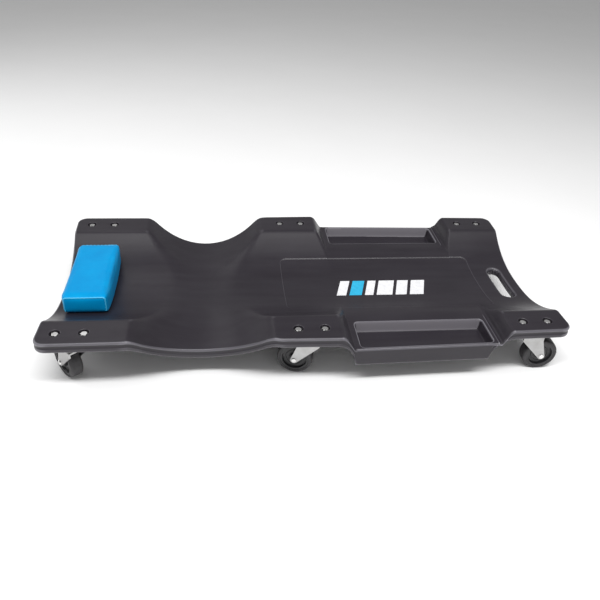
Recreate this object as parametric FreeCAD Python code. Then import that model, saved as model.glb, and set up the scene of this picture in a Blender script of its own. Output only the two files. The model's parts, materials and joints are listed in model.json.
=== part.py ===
import FreeCAD, Part

import math
import os

# A low mechanic's creeper: a blow-moulded body board on six swivel casters, with a head pillow.
# Millimetres. +X runs from the head end to the foot end, +Y is the user's left, +Z is up.
# The origin is on the floor, under the middle of the board.

Vector = FreeCAD.Vector
UP = Vector(0, 0, 1)

# Board: plan
BOARD_LENGTH = 918.0
HEAD_END = -BOARD_LENGTH / 2
FOOT_END = BOARD_LENGTH / 2
HALF_WIDTH_HEAD = 217.0
HALF_WIDTH_MID = 222.0
HALF_WIDTH_FOOT = 213.0
CORNER_RADIUS = 20.0
END_HOLLOW = 5.0

# Board: section
EAR_TOP = 102.0
BOARD_DEPTH = 17.0
SKIN = 3.0
DISH_HALF_WIDTH = 153.0
DISH_DEPTH = 42.0
DISH_POWER = 2.5

# Arm scoops
SCOOP_X = -190.0
SCOOP_RADIUS = 167.0
SCOOP_DEPTH = 45.8
SCOOP_PLAN_RADIUS = 227.0
SCOOP_PLAN_DEPTH = 32.0

# Tool trays
SHELF_DROP = 26.0
SHELF_START = 66.0
SHELF_END = 332.0
SHELF_RAMP = 17.0
SHELF_RAMP_FOOT = 13.0
TRAY_BASE_DROP = 60.0
TRAY_BASE_START = 70.0
TRAY_BASE_END = 312.0
ARCH_START = 34.0
ARCH_END = 359.0
ARCH_BOW = 0.26
TRAY_INNER = 112.0
POCKET_START = 78.0
POCKET_END = 319.0
POCKET_INNER = 142.0
POCKET_OUTER_HEAD = 215.0
POCKET_OUTER_FOOT = 210.0
POCKET_DEPTH = 20.0
POCKET_DRAFT = 4.5
POCKET_CORNER = 8.0
POCKET_ABOVE = 1.0

# Hand slot and middle panel
SLOT_X = 417.0
SLOT_WIDTH = 26.0
SLOT_LENGTH = 104.0
SLOT_END_FLAT = 1.0
SLOT_LIP = 4.0
SLOT_LIP_DEPTH = 2.0
PANEL_START = -35.0
PANEL_END = 367.0
PANEL_HALF_WIDTH = 89.0
PANEL_CORNER = 12.0
PANEL_SINK = 1.0

# Caster stations: name, x, bolt line's distance from the centre line, how far inboard of it the king pin is,
# and the right wheel's trail direction in degrees
STATIONS = (
    ("head", -404.0, 187.0, 0.0, 128.5),
    ("mid", -6.0, 190.0, 8.0, 165.0),
    ("foot", 398.0, 185.5, 0.0, -2.0),
)

# Caster mounting bolts, M6
BOLT_SPACING = 46.0
BOLT_RADIUS = 3.0
BOLT_HOLE_RADIUS = 3.3
BOLT_ACROSS_FLATS = 10.0
BOLT_HEAD = 4.0
COUNTERBORE_RADIUS = 8.5
COUNTERBORE_DEPTH = 7.0
WASHER_RADIUS = 7.5
WASHER_THICKNESS = 1.2
NUT_HEIGHT = 5.0
BOLT_END_Z = 76.6
BOSS_RADIUS = 12.0

# Caster
WHEEL_RADIUS = 31.75
TREAD_HALF_WIDTH = 11.0
TRAIL = 24.5
PLATE_TOP = EAR_TOP - BOARD_DEPTH
PLATE_THICKNESS = 3.0
PLATE_LENGTH = 64.0
PLATE_WIDTH = 36.0
PLATE_CORNER = 7.0
RACE_RING_RADIUS = 16.5
RACE_RING_HEIGHT = 3.0
RACE_RING_ROUND = 1.0
BALL_RADIUS = 2.5
BALL_CIRCLE = 11.5
BALL_COUNT = 12
BALL_CENTRE_Z = 77.5
GROOVE_RADIUS = 2.6
CROWN_TOP = 76.0
FORK_SHEET = 2.5
FORK_CROWN = 3.0
LEG_SHOULDER = 9.0
CROWN_RADIUS = 16.8
LEG_INNER = 12.9
LEG_TOP_HALF = 19.0
LEG_BOSS_RADIUS = 6.5
BOSS_BACK = (0.8, 0.6)
FORK_BEND = 3.0
KING_PIN_RADIUS = 4.0
KING_PIN_HEAD_RADIUS = 8.0
KING_PIN_HEAD_HEIGHT = 3.2
KING_PIN_GAP = 0.3
KING_PIN_SINK = 2.0
RUNNING_CLEARANCE = 0.06
RIVET_RADIUS = 3.0
RIVET_HEAD_RADIUS = 4.6
RIVET_HEAD = 2.2
BUSHING_RADIUS = 5.0
BUSHING_GAP = 0.1
HEAD_EDGE = 0.6

# Wheel section
HUB_HALF_WIDTH = 12.4
HUB_RADIUS = 9.0
HUB_CHAMFER = 1.0
HUB_DRAFT = 1.0
WEB_HALF_WIDTH = 6.2
WEB_RING = (14.0, 16.6)
WEB_RING_HALF_WIDTH = 7.2
WEB_RING_SLOPE = 0.6
RIM_START = 21.0
RIM_HALF_WIDTH = 10.4
RIM_DRAFT = 1.0
TYRE_INNER_RADIUS = 25.5
TYRE_LIP = 0.4
SHOULDER_DROP = 3.2
SHOULDER_WIDTH = 5.0
SHOULDER_STEP = 15

# Pillow
PILLOW_X = -397.0
PILLOW_LENGTH = 80.0
PILLOW_WIDTH = 188.0
PILLOW_TOP = 109.0
PILLOW_ROUND = 7.0
PILLOW_GAP = 0.4
COVER_THICKNESS = 1.5
PILLOW_BOARD_LENGTH = 58.0
PILLOW_BOARD_WIDTH = 148.0
PILLOW_BOARD_BASE = 69.0
PILLOW_BOARD_THICKNESS = 5.0
PILLOW_SCREW_Y = 50.0
PILLOW_SCREW_RADIUS = 2.2
PILLOW_SCREW_HOLE = 2.6
PILLOW_SCREW_HEAD_RADIUS = 5.0
PILLOW_SCREW_HEAD = 3.0
PILLOW_SCREW_TAPER = 1.0
PILLOW_SCREW_SEAT = 0.6
SCREW_BOSS_RADIUS = 8.0

# Working space around the board for the cutting solids
BEYOND = 60.0
FLOOR_SIDE = -20.0


def save(shape, node):
    """Write one sub-part."""
    shape.exportStep(f"parts/{node}.step")


def box(x_range, y_range, z_range):
    """A box between two values on each axis."""
    size = (x_range[1] - x_range[0], y_range[1] - y_range[0], z_range[1] - z_range[0])
    return Part.makeBox(*size, Vector(x_range[0], y_range[0], z_range[0]))


def cylinder(radius, low, high, x=0.0, y=0.0):
    """An upright cylinder between two heights."""
    return Part.makeCylinder(radius, high - low, Vector(x, y, low), UP)


def hexagon(across_flats, low, high, x=0.0, y=0.0):
    """An upright hexagonal prism between two heights."""
    corner = across_flats / math.sqrt(3)
    points = [
        Vector(x + corner * math.cos(math.radians(60 * i)), y + corner * math.sin(math.radians(60 * i)), low)
        for i in range(7)
    ]
    return Part.Face(Part.makePolygon(points)).extrude(Vector(0, 0, high - low))


def rounded_rectangle(x_range, y_range, radius, z=0.0):
    """A flat face with four round corners."""
    (x0, x1), (y0, y1) = x_range, y_range
    edges = []
    corners = [(x1, y1, 0), (x0, y1, 90), (x0, y0, 180), (x1, y0, 270)]
    for x, y, start in corners:
        centre = Vector(
            x - radius if x == x1 else x + radius,
            y - radius if y == y1 else y + radius,
            z,
        )
        edges.append(Part.makeCircle(radius, centre, UP, start, start + 90))
    ends = [(edge.Vertexes[0].Point, edge.Vertexes[-1].Point) for edge in edges]
    wire_edges = []
    for i, edge in enumerate(edges):
        wire_edges.append(edge)
        wire_edges.append(Part.makeLine(ends[i][1], ends[(i + 1) % 4][0]))
    return Part.Face(Part.Wire(Part.__sortEdges__(wire_edges)))


def mirrored(shape):
    """The shape's mirror image across the centre line."""
    return shape.mirror(Vector(0, 0, 0), Vector(0, 1, 0))


def both_sides(shape):
    """The shape and its mirror image."""
    return [shape, mirrored(shape)]


# ---------------------------------------------------------------- board

def half_width(x):
    """Half the board's width where no scoop narrows it."""
    if x <= SCOOP_X:
        return HALF_WIDTH_HEAD
    share = min(1.0, (x - SCOOP_X) / (ARCH_START - SCOOP_X))
    if x <= ARCH_START:
        return HALF_WIDTH_HEAD + (HALF_WIDTH_MID - HALF_WIDTH_HEAD) * share
    return HALF_WIDTH_MID + (HALF_WIDTH_FOOT - HALF_WIDTH_MID) * (x - ARCH_START) / (FOOT_END - ARCH_START)


def plan_face(grow):
    """The board's outline on the floor plane, grown outwards by a distance."""
    sag = SCOOP_PLAN_RADIUS - SCOOP_PLAN_DEPTH
    reach = math.sqrt(SCOOP_PLAN_RADIUS ** 2 - sag ** 2)
    scoop_start = SCOOP_X - reach
    scoop_end = SCOOP_X + reach
    side = [
        Vector(HEAD_END, HALF_WIDTH_HEAD, 0),
        Vector(scoop_start, HALF_WIDTH_HEAD, 0),
        Vector(scoop_end, half_width(scoop_end), 0),
        Vector(ARCH_START, HALF_WIDTH_MID, 0),
        Vector(FOOT_END, HALF_WIDTH_FOOT, 0),
    ]
    scoop_bottom = Vector(SCOOP_X, HALF_WIDTH_HEAD - SCOOP_PLAN_DEPTH, 0)

    def flip(point):
        return Vector(point.x, -point.y, point.z)

    edges = [
        Part.makeLine(side[0], side[1]),
        Part.Arc(side[1], scoop_bottom, side[2]).toShape(),
        Part.makeLine(side[2], side[3]),
        Part.makeLine(side[3], side[4]),
        Part.Arc(side[4], Vector(FOOT_END - END_HOLLOW, 0, 0), flip(side[4])).toShape(),
        Part.makeLine(flip(side[4]), flip(side[3])),
        Part.makeLine(flip(side[3]), flip(side[2])),
        Part.Arc(flip(side[2]), flip(scoop_bottom), flip(side[1])).toShape(),
        Part.makeLine(flip(side[1]), flip(side[0])),
        Part.Arc(flip(side[0]), Vector(HEAD_END + END_HOLLOW, 0, 0), side[0]).toShape(),
    ]
    wire = Part.Wire(edges)
    if grow:
        wire = wire.makeOffset2D(grow, 2)
    return Part.Face(wire)


def plan_prism(grow, low, high):
    """The board's outline as an upright solid with round corners."""
    solid = plan_face(grow).extrude(Vector(0, 0, high - low))
    solid.translate(Vector(0, 0, low))
    corners = [
        edge
        for edge in solid.Edges
        if edge.BoundBox.ZLength > 1 and abs(edge.CenterOfMass.x) > FOOT_END - CORNER_RADIUS
    ]
    return solid.makeFillet(CORNER_RADIUS + grow, corners)


def dish_cutter(drop):
    """Everything above the lying surface, lowered by a distance."""
    steps = 12
    points = []
    for i in range(-steps, steps + 1):
        y = DISH_HALF_WIDTH * i / steps
        depth = DISH_DEPTH * (1 - abs(i / steps) ** DISH_POWER)
        points.append(Vector(HEAD_END - BEYOND, y, EAR_TOP - depth - drop))
    curve = Part.BSplineCurve()
    curve.interpolate(points)
    start, end = points[0], points[-1]
    above = Vector(0, 0, DISH_DEPTH)
    edges = [
        curve.toShape(),
        Part.makeLine(end, end + above),
        Part.makeLine(end + above, start + above),
        Part.makeLine(start + above, start),
    ]
    return Part.Face(Part.Wire(edges)).extrude(Vector(BOARD_LENGTH + 2 * BEYOND, 0, 0))


def scoop_cutter(drop):
    """The round valley that the arms work in, across the whole board."""
    centre = Vector(SCOOP_X, -HALF_WIDTH_MID - BEYOND, EAR_TOP - SCOOP_DEPTH + SCOOP_RADIUS - drop)
    return Part.makeCylinder(SCOOP_RADIUS, 2 * (HALF_WIDTH_MID + BEYOND), centre, Vector(0, 1, 0))


def shelf_cutter(drop):
    """The lowered stretch that the tool trays are in, with a ramp at each end."""
    low = EAR_TOP - SHELF_DROP - drop
    high = low + DISH_DEPTH + SHELF_DROP
    rise = (high - low) / SHELF_DROP
    y = -HALF_WIDTH_MID - BEYOND
    points = [
        Vector(SHELF_START, y, low),
        Vector(SHELF_END, y, low),
        Vector(SHELF_END + SHELF_RAMP_FOOT * rise, y, high),
        Vector(SHELF_START - SHELF_RAMP * rise, y, high),
        Vector(SHELF_START, y, low),
    ]
    face = Part.Face(Part.makePolygon(points))
    return face.extrude(Vector(0, -2 * y, 0))


def below_top(grow, drop):
    """Everything under the board's top surface, lowered by a distance."""
    solid = plan_prism(grow, FLOOR_SIDE, EAR_TOP - drop)
    return solid.cut([dish_cutter(drop), scoop_cutter(drop), shelf_cutter(drop)])


def tray_block(inset):
    """The deep box under each tool tray, with a wheel arch at each end."""
    base = EAR_TOP - TRAY_BASE_DROP + inset
    top = EAR_TOP - BOARD_DEPTH + inset
    y = TRAY_INNER + inset
    start = Vector(TRAY_BASE_START + inset, y, base)
    end = Vector(TRAY_BASE_END - inset, y, base)
    arch_start = Vector(ARCH_START + inset, y, top)
    arch_end = Vector(ARCH_END - inset, y, top)
    lift = Vector(0, 0, SHELF_DROP)
    middle_z = base + (top - base) * (0.5 + ARCH_BOW / 2)
    start_middle = Vector(start.x + (arch_start.x - start.x) * (0.5 - ARCH_BOW), y, middle_z)
    end_middle = Vector(end.x + (arch_end.x - end.x) * (0.5 - ARCH_BOW), y, middle_z)
    edges = [
        Part.Arc(arch_start, start_middle, start).toShape(),
        Part.makeLine(start, end),
        Part.Arc(end, end_middle, arch_end).toShape(),
        Part.makeLine(arch_end, arch_end + lift),
        Part.makeLine(arch_end + lift, arch_start + lift),
        Part.makeLine(arch_start + lift, arch_start),
    ]
    return Part.Face(Part.Wire(edges)).extrude(Vector(0, HALF_WIDTH_MID, 0))


def pocket(grow, depth):
    """The open space of a tool tray, or that space and the skin around it, down to a depth."""
    top_z = EAR_TOP - SHELF_DROP + POCKET_ABOVE
    floor_z = EAR_TOP - SHELF_DROP - depth
    faces = []
    for z, inset in ((top_z, -grow), (floor_z, POCKET_DRAFT - grow)):
        x0 = POCKET_START + inset
        x1 = POCKET_END - inset
        y0 = POCKET_INNER + inset
        points = [
            Vector(x0, y0, z),
            Vector(x1, y0, z),
            Vector(x1, POCKET_OUTER_FOOT - inset, z),
            Vector(x0, POCKET_OUTER_HEAD - inset, z),
            Vector(x0, y0, z),
        ]
        faces.append(Part.makePolygon(points))
    solid = Part.makeLoft(faces, True, True)
    uprights = [
        edge
        for edge in solid.Edges
        if abs(edge.Vertexes[0].Point.z - edge.Vertexes[-1].Point.z) > 1
    ]
    return solid.makeFillet(POCKET_CORNER, uprights)


def slot_tube(grow, low, high):
    """The hand slot's space, as an upright solid with round ends."""
    half_x = SLOT_WIDTH / 2 + grow
    half_y = SLOT_LENGTH / 2 + grow
    face = rounded_rectangle(
        (SLOT_X - half_x, SLOT_X + half_x), (-half_y, half_y), half_x - SLOT_END_FLAT, low
    )
    return face.extrude(Vector(0, 0, high - low))


def panel_space():
    """The thin layer that the middle panel is sunk by."""
    face = rounded_rectangle((PANEL_START, PANEL_END), (-PANEL_HALF_WIDTH, PANEL_HALF_WIDTH), PANEL_CORNER)
    return face.extrude(Vector(0, 0, EAR_TOP)).common(dish_cutter(PANEL_SINK))


def bolt_places():
    """The x and y of every caster bolt."""
    places = []
    for _, x, y, _, _ in STATIONS:
        for step in (-0.5, 0.5):
            places.append((x + step * BOLT_SPACING, y))
            places.append((x + step * BOLT_SPACING, -y))
    return places


def screw_places():
    """The x and y of the pillow's two screws."""
    return [(PILLOW_X, -PILLOW_SCREW_Y), (PILLOW_X, PILLOW_SCREW_Y)]


def below_underside(drop):
    """Everything under the board's lower skin, which follows the dish and the scoops only."""
    solid = plan_prism(BEYOND, FLOOR_SIDE, EAR_TOP - drop)
    return solid.cut([dish_cutter(drop), scoop_cutter(drop)])


def make_board():
    """The hollow, double-skinned body board."""
    inside_top = below_top(0, 0)
    outer = inside_top.cut(below_underside(BOARD_DEPTH))
    blocks = [block.common(inside_top) for block in both_sides(tray_block(0))]
    outer = outer.fuse(blocks).removeSplitter()

    cavity_top = below_top(-SKIN, SKIN)
    cavity = cavity_top.cut(below_underside(BOARD_DEPTH - SKIN))
    inner_blocks = [block.common(cavity_top) for block in both_sides(tray_block(SKIN))]
    cavity = cavity.fuse(inner_blocks)
    keep = both_sides(pocket(SKIN, TRAY_BASE_DROP - SHELF_DROP))
    keep.append(slot_tube(SLOT_LIP + SKIN, FLOOR_SIDE, EAR_TOP))
    keep += [cylinder(BOSS_RADIUS, FLOOR_SIDE, EAR_TOP, x, y) for x, y in bolt_places()]
    keep += [cylinder(SCREW_BOSS_RADIUS, FLOOR_SIDE, EAR_TOP, x, y) for x, y in screw_places()]
    cavity = cavity.cut(keep)

    floor_at_slot = EAR_TOP - DISH_DEPTH
    cuts = both_sides(pocket(0, POCKET_DEPTH))
    cuts.append(slot_tube(0, FLOOR_SIDE, EAR_TOP))
    cuts.append(slot_tube(SLOT_LIP, floor_at_slot - SLOT_LIP_DEPTH, EAR_TOP))
    cuts.append(panel_space())
    for x, y in bolt_places():
        cuts.append(cylinder(BOLT_HOLE_RADIUS, FLOOR_SIDE, EAR_TOP, x, y))
        cuts.append(cylinder(COUNTERBORE_RADIUS, EAR_TOP - COUNTERBORE_DEPTH, EAR_TOP, x, y))
    for x, y in screw_places():
        cuts.append(cylinder(PILLOW_SCREW_HOLE, FLOOR_SIDE, EAR_TOP, x, y))
    cuts.append(cavity)
    return outer.cut(cuts)


# ---------------------------------------------------------------- board fasteners

def caster_bolt(x, y):
    """A hex bolt that sits in its counterbore, with its end just past the nut."""
    head_base = EAR_TOP - COUNTERBORE_DEPTH + WASHER_THICKNESS
    head = hexagon(BOLT_ACROSS_FLATS, head_base, head_base + BOLT_HEAD, x, y)
    chamfer = Part.makeCone(
        BOLT_ACROSS_FLATS / 2 + 2 * BOLT_HEAD,
        BOLT_ACROSS_FLATS / 2,
        BOLT_HEAD,
        Vector(x, y, head_base),
        UP,
    )
    shank = cylinder(BOLT_RADIUS, BOLT_END_Z, head_base, x, y)
    return head.common(chamfer).fuse(shank).removeSplitter()


def caster_washer(x, y):
    """A plain washer under a bolt head."""
    base = EAR_TOP - COUNTERBORE_DEPTH
    ring = cylinder(WASHER_RADIUS, base, base + WASHER_THICKNESS, x, y)
    return ring.cut(cylinder(BOLT_HOLE_RADIUS, base, base + WASHER_THICKNESS, x, y))


def caster_nut(x, y):
    """A hex nut against the underside of a caster plate."""
    top = PLATE_TOP - PLATE_THICKNESS
    nut = hexagon(BOLT_ACROSS_FLATS, top - NUT_HEIGHT, top, x, y)
    return nut.cut(cylinder(BOLT_RADIUS, top - NUT_HEIGHT, top, x, y))


# ---------------------------------------------------------------- pillow

def pillow_form(inset):
    """The pillow's soft block, its bottom lying in the dish, shrunk by a distance."""
    half_x = PILLOW_LENGTH / 2 - inset
    half_y = PILLOW_WIDTH / 2 - inset
    low = EAR_TOP - DISH_DEPTH
    block = box(
        (PILLOW_X - half_x, PILLOW_X + half_x), (-half_y, half_y), (low - PILLOW_ROUND, PILLOW_TOP - inset)
    )
    edges = [edge for edge in block.Edges if edge.CenterOfMass.z > low - PILLOW_ROUND + 1]
    block = block.makeFillet(PILLOW_ROUND - inset, edges)
    return block.cut(below_top(0, -PILLOW_GAP - inset))


def make_pillow():
    """The pillow's cover, foam, stiffening board and screws."""
    half_x = PILLOW_BOARD_LENGTH / 2
    half_y = PILLOW_BOARD_WIDTH / 2
    base = PILLOW_BOARD_BASE
    board = box(
        (PILLOW_X - half_x, PILLOW_X + half_x), (-half_y, half_y), (base, base + PILLOW_BOARD_THICKNESS)
    )
    outer = pillow_form(0)
    inner = pillow_form(COVER_THICKNESS)
    cover = outer.cut(inner)
    foam = inner.cut(board)
    screws = []
    for x, y in screw_places():
        share = abs(y) / DISH_HALF_WIDTH
        under = EAR_TOP - BOARD_DEPTH - DISH_DEPTH * (1 - share ** DISH_POWER)
        seat = under - PILLOW_SCREW_SEAT
        head = Part.makeCone(
            PILLOW_SCREW_HEAD_RADIUS - PILLOW_SCREW_TAPER,
            PILLOW_SCREW_HEAD_RADIUS,
            PILLOW_SCREW_HEAD,
            Vector(x, y, seat - PILLOW_SCREW_HEAD),
            UP,
        )
        shank = cylinder(PILLOW_SCREW_RADIUS, seat, base + PILLOW_BOARD_THICKNESS, x, y)
        screws.append(head.fuse(shank))
        clear_hole = cylinder(PILLOW_SCREW_HOLE, seat, base, x, y)
        board = board.cut(cylinder(PILLOW_SCREW_RADIUS, base, base + PILLOW_BOARD_THICKNESS, x, y))
        cover = cover.cut(clear_hole)
        foam = foam.cut(clear_hole)
    return {
        "pillow_cover": cover,
        "pillow_foam": foam,
        "pillow_board": board,
        "pillow_screws": Part.Compound(screws),
    }


# ---------------------------------------------- casters: king pin on the Z axis, trail along +X

def groove():
    """The ball track, cut half in the plate's ring and half in the fork's crown."""
    return Part.makeTorus(BALL_CIRCLE, GROOVE_RADIUS, Vector(0, 0, BALL_CENTRE_Z), UP)


def pin_sink():
    """The countersunk top of the king pin."""
    base = Vector(0, 0, PLATE_TOP - KING_PIN_SINK)
    return Part.makeCone(KING_PIN_RADIUS, KING_PIN_RADIUS + KING_PIN_SINK, KING_PIN_SINK, base, UP)


def caster_plate(bolt_offset):
    """The top plate with its two bolt holes, set off to the outboard side, and the upper ball ring."""
    low = PLATE_TOP - PLATE_THICKNESS
    half_x = PLATE_LENGTH / 2
    half_y = PLATE_WIDTH / 2
    plate = rounded_rectangle((-half_x, half_x), (-half_y, half_y), PLATE_CORNER, low)
    plate = plate.extrude(Vector(0, 0, PLATE_THICKNESS))
    ring = cylinder(RACE_RING_RADIUS, low - RACE_RING_HEIGHT, low)
    ring = ring.makeFillet(RACE_RING_ROUND, [edge for edge in ring.Edges if edge.CenterOfMass.z < low - 1])
    body = plate.fuse(ring)
    pin_hole = cylinder(KING_PIN_RADIUS, low - RACE_RING_HEIGHT, PLATE_TOP)
    cuts = [pin_hole, pin_sink(), groove()]
    for x in (-BOLT_SPACING / 2, BOLT_SPACING / 2):
        cuts.append(cylinder(BOLT_HOLE_RADIUS, low, PLATE_TOP, x, -bolt_offset))
    return body.cut(cuts)


def king_pin():
    """The rivet that holds the fork: flush at the top, domed below the crown."""
    head_top = CROWN_TOP - FORK_CROWN - KING_PIN_GAP
    shank = cylinder(KING_PIN_RADIUS, head_top, PLATE_TOP)
    head = cylinder(KING_PIN_HEAD_RADIUS, head_top - KING_PIN_HEAD_HEIGHT, head_top)
    low_edge = [edge for edge in head.Edges if edge.CenterOfMass.z < head_top - 1]
    head = head.makeFillet(KING_PIN_HEAD_HEIGHT - HEAD_EDGE, low_edge)
    return shank.fuse([pin_sink(), head])


def ball_ring():
    """The ring of loose balls."""
    balls = []
    for i in range(BALL_COUNT):
        angle = 2 * math.pi * i / BALL_COUNT
        centre = Vector(BALL_CIRCLE * math.cos(angle), BALL_CIRCLE * math.sin(angle), BALL_CENTRE_Z)
        balls.append(Part.makeSphere(BALL_RADIUS, centre))
    return Part.Compound(balls)


def fork():
    """The pressed fork: a round crown and two legs that lean back to the axle."""
    crown_low = CROWN_TOP - FORK_CROWN
    outer = LEG_INNER + FORK_SHEET
    back = Vector(-LEG_TOP_HALF, -outer, CROWN_TOP)
    front = Vector(LEG_TOP_HALF, -outer, CROWN_TOP)
    boss = Vector(TRAIL, -outer, WHEEL_RADIUS)
    front_knee = Vector(LEG_TOP_HALF, -outer, CROWN_TOP - LEG_SHOULDER)
    back_knee = Vector(-LEG_TOP_HALF, -outer, CROWN_TOP - LEG_SHOULDER)
    boss_front = boss + Vector(LEG_BOSS_RADIUS, 0, 0)
    boss_back = boss - Vector(LEG_BOSS_RADIUS * BOSS_BACK[0], 0, LEG_BOSS_RADIUS * BOSS_BACK[1])
    boss_low = boss - Vector(0, 0, LEG_BOSS_RADIUS)
    edges = [
        Part.makeLine(back, front),
        Part.makeLine(front, front_knee),
        Part.makeLine(front_knee, boss_front),
        Part.Arc(boss_front, boss_low, boss_back).toShape(),
        Part.makeLine(boss_back, back_knee),
        Part.makeLine(back_knee, back),
    ]
    profile = Part.Face(Part.Wire(edges)).extrude(Vector(0, 2 * outer, 0))
    hollow = box(
        (-4 * LEG_TOP_HALF, 4 * LEG_TOP_HALF), (-LEG_INNER, LEG_INNER), (0, crown_low)
    )
    bends = [
        edge
        for edge in profile.Edges
        if abs(edge.CenterOfMass.z - CROWN_TOP) < 0.01 and abs(abs(edge.CenterOfMass.y) - outer) < 0.01
    ]
    legs = profile.makeFillet(FORK_BEND, bends).cut(hollow)
    crown = cylinder(CROWN_RADIUS, crown_low, CROWN_TOP)
    body = legs.fuse(crown).removeSplitter()
    pin_hole = cylinder(KING_PIN_RADIUS + RUNNING_CLEARANCE, crown_low, CROWN_TOP)
    axle_hole = Part.makeCylinder(
        RIVET_RADIUS, 2 * outer, Vector(TRAIL, -outer, WHEEL_RADIUS), Vector(0, 1, 0)
    )
    return body.cut([pin_hole, groove(), axle_hole])


def across(shape):
    """Turn an upright shape made on the Z axis onto the axle line."""
    shape.rotate(Vector(0, 0, 0), Vector(1, 0, 0), -90)
    shape.translate(Vector(TRAIL, 0, WHEEL_RADIUS))
    return shape


def axle_rivet():
    """The rivet that is the wheel's axle, with a domed head on each side."""
    outer = LEG_INNER + FORK_SHEET
    shank = cylinder(RIVET_RADIUS, -outer, outer)
    heads = []
    for low in (-outer - RIVET_HEAD, outer):
        head = cylinder(RIVET_HEAD_RADIUS, low, low + RIVET_HEAD)
        far_z = low if low < 0 else low + RIVET_HEAD
        rim = [edge for edge in head.Edges if abs(edge.CenterOfMass.z - far_z) < 0.01]
        heads.append(head.makeFillet(RIVET_HEAD - HEAD_EDGE, rim))
    return across(shank.fuse(heads))


def bushing():
    """The tube between the legs that the wheel turns on."""
    half = LEG_INNER - BUSHING_GAP
    return across(cylinder(BUSHING_RADIUS, -half, half).cut(cylinder(RIVET_RADIUS, -half, half)))


def turned(half_profile):
    """A solid of revolution on the axle line, from points (radius, half width) on one side."""
    upper = [Vector(radius, 0, width) for radius, width in half_profile]
    lower = [Vector(radius, 0, -width) for radius, width in reversed(half_profile)]
    face = Part.Face(Part.makePolygon(upper + lower + upper[:1]))
    return across(face.revolve(Vector(0, 0, 0), UP, 360))


def wheel_core():
    """The hard wheel: hub, web with a raised ring, and rim."""
    ring_start, ring_end = WEB_RING
    return turned([
        (BUSHING_RADIUS + RUNNING_CLEARANCE, HUB_HALF_WIDTH),
        (HUB_RADIUS - HUB_CHAMFER, HUB_HALF_WIDTH),
        (HUB_RADIUS, HUB_HALF_WIDTH - HUB_CHAMFER),
        (HUB_RADIUS + HUB_DRAFT, WEB_HALF_WIDTH),
        (ring_start, WEB_HALF_WIDTH),
        (ring_start + WEB_RING_SLOPE, WEB_RING_HALF_WIDTH),
        (ring_end - WEB_RING_SLOPE, WEB_RING_HALF_WIDTH),
        (ring_end, WEB_HALF_WIDTH),
        (RIM_START, WEB_HALF_WIDTH),
        (RIM_START + RIM_DRAFT, RIM_HALF_WIDTH),
        (TYRE_INNER_RADIUS, RIM_HALF_WIDTH),
    ])


def tyre():
    """The tread band, a flat tread between two round shoulders."""
    profile = [
        (TYRE_INNER_RADIUS, RIM_HALF_WIDTH),
        (TYRE_INNER_RADIUS + TYRE_LIP, TREAD_HALF_WIDTH),
    ]
    for degrees in range(0, 91, SHOULDER_STEP):
        turn = math.radians(degrees)
        radius = WHEEL_RADIUS - SHOULDER_DROP * (1 - math.sin(turn))
        profile.append((radius, TREAD_HALF_WIDTH - SHOULDER_WIDTH * (1 - math.cos(turn))))
    return turned(profile)


def save_caster(station, x, bolt_y, inboard, heading):
    """Write one station's right caster, trailing towards its heading, and its mirror image on the left."""
    shapes = {
        "plate": caster_plate(inboard),
        "king_pin": king_pin(),
        "balls": ball_ring(),
        "fork": fork(),
        "axle_rivet": axle_rivet(),
        "bushing": bushing(),
        "wheel_core": wheel_core(),
        "tyre": tyre(),
    }
    for part, shape in shapes.items():
        if part != "plate":
            shape.rotate(Vector(0, 0, 0), UP, heading)
        shape.translate(Vector(x, inboard - bolt_y, 0))
        save(shape, f"{station}_right_{part}")
        save(mirrored(shape), f"{station}_left_{part}")


os.makedirs("parts", exist_ok=True)

save(make_board(), "body_board")

places = bolt_places()
save(Part.Compound([caster_bolt(x, y) for x, y in places]), "caster_bolts")
save(Part.Compound([caster_washer(x, y) for x, y in places]), "caster_washers")
save(Part.Compound([caster_nut(x, y) for x, y in places]), "caster_nuts")

for node, shape in make_pillow().items():
    save(shape, node)

for station in STATIONS:
    save_caster(*station)
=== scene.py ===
import json
import math

import bmesh
import bpy
import numpy as np
from mathutils import Matrix, Vector
from mathutils.bvhtree import BVHTree


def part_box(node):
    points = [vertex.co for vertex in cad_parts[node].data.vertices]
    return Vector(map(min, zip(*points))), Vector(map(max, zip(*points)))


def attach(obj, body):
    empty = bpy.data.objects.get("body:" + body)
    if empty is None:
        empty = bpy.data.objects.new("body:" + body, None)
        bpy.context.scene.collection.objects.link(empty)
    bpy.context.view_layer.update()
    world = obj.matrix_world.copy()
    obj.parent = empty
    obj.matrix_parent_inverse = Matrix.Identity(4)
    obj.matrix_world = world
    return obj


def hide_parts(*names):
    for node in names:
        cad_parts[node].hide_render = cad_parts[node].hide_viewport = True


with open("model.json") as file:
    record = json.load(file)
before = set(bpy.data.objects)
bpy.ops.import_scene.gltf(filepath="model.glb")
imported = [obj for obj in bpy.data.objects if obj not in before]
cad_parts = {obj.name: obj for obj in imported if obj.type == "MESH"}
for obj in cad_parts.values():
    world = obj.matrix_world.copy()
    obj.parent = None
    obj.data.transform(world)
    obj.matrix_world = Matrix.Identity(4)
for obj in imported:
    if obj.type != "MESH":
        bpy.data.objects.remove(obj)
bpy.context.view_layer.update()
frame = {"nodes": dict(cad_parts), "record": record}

# Everything is in metres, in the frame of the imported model: +X to the foot end, +Z up, floor at z = 0.
MM = 0.001


def in_mm(rows):
    """Rows of millimetre values, in metres."""
    return [tuple(value * MM for value in row) for row in rows]


# Heights of the board: its ear tops, and how far its lower face lies under the upper one
EAR_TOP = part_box("body_board")[1].z
BOARD_DEPTH = EAR_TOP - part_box("head_left_plate")[1].z

# Plan of the board: its ends, its half width along the sides, its corners and its hollow ends
END_X = 459 * MM
HALF_HEAD = 217 * MM
HALF_MID = 222 * MM
HALF_FOOT = 213 * MM
TAPER_START = 34 * MM
CORNER = 20 * MM
END_HOLLOW = 5 * MM
END_HOLLOW_START = 300 * MM

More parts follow.
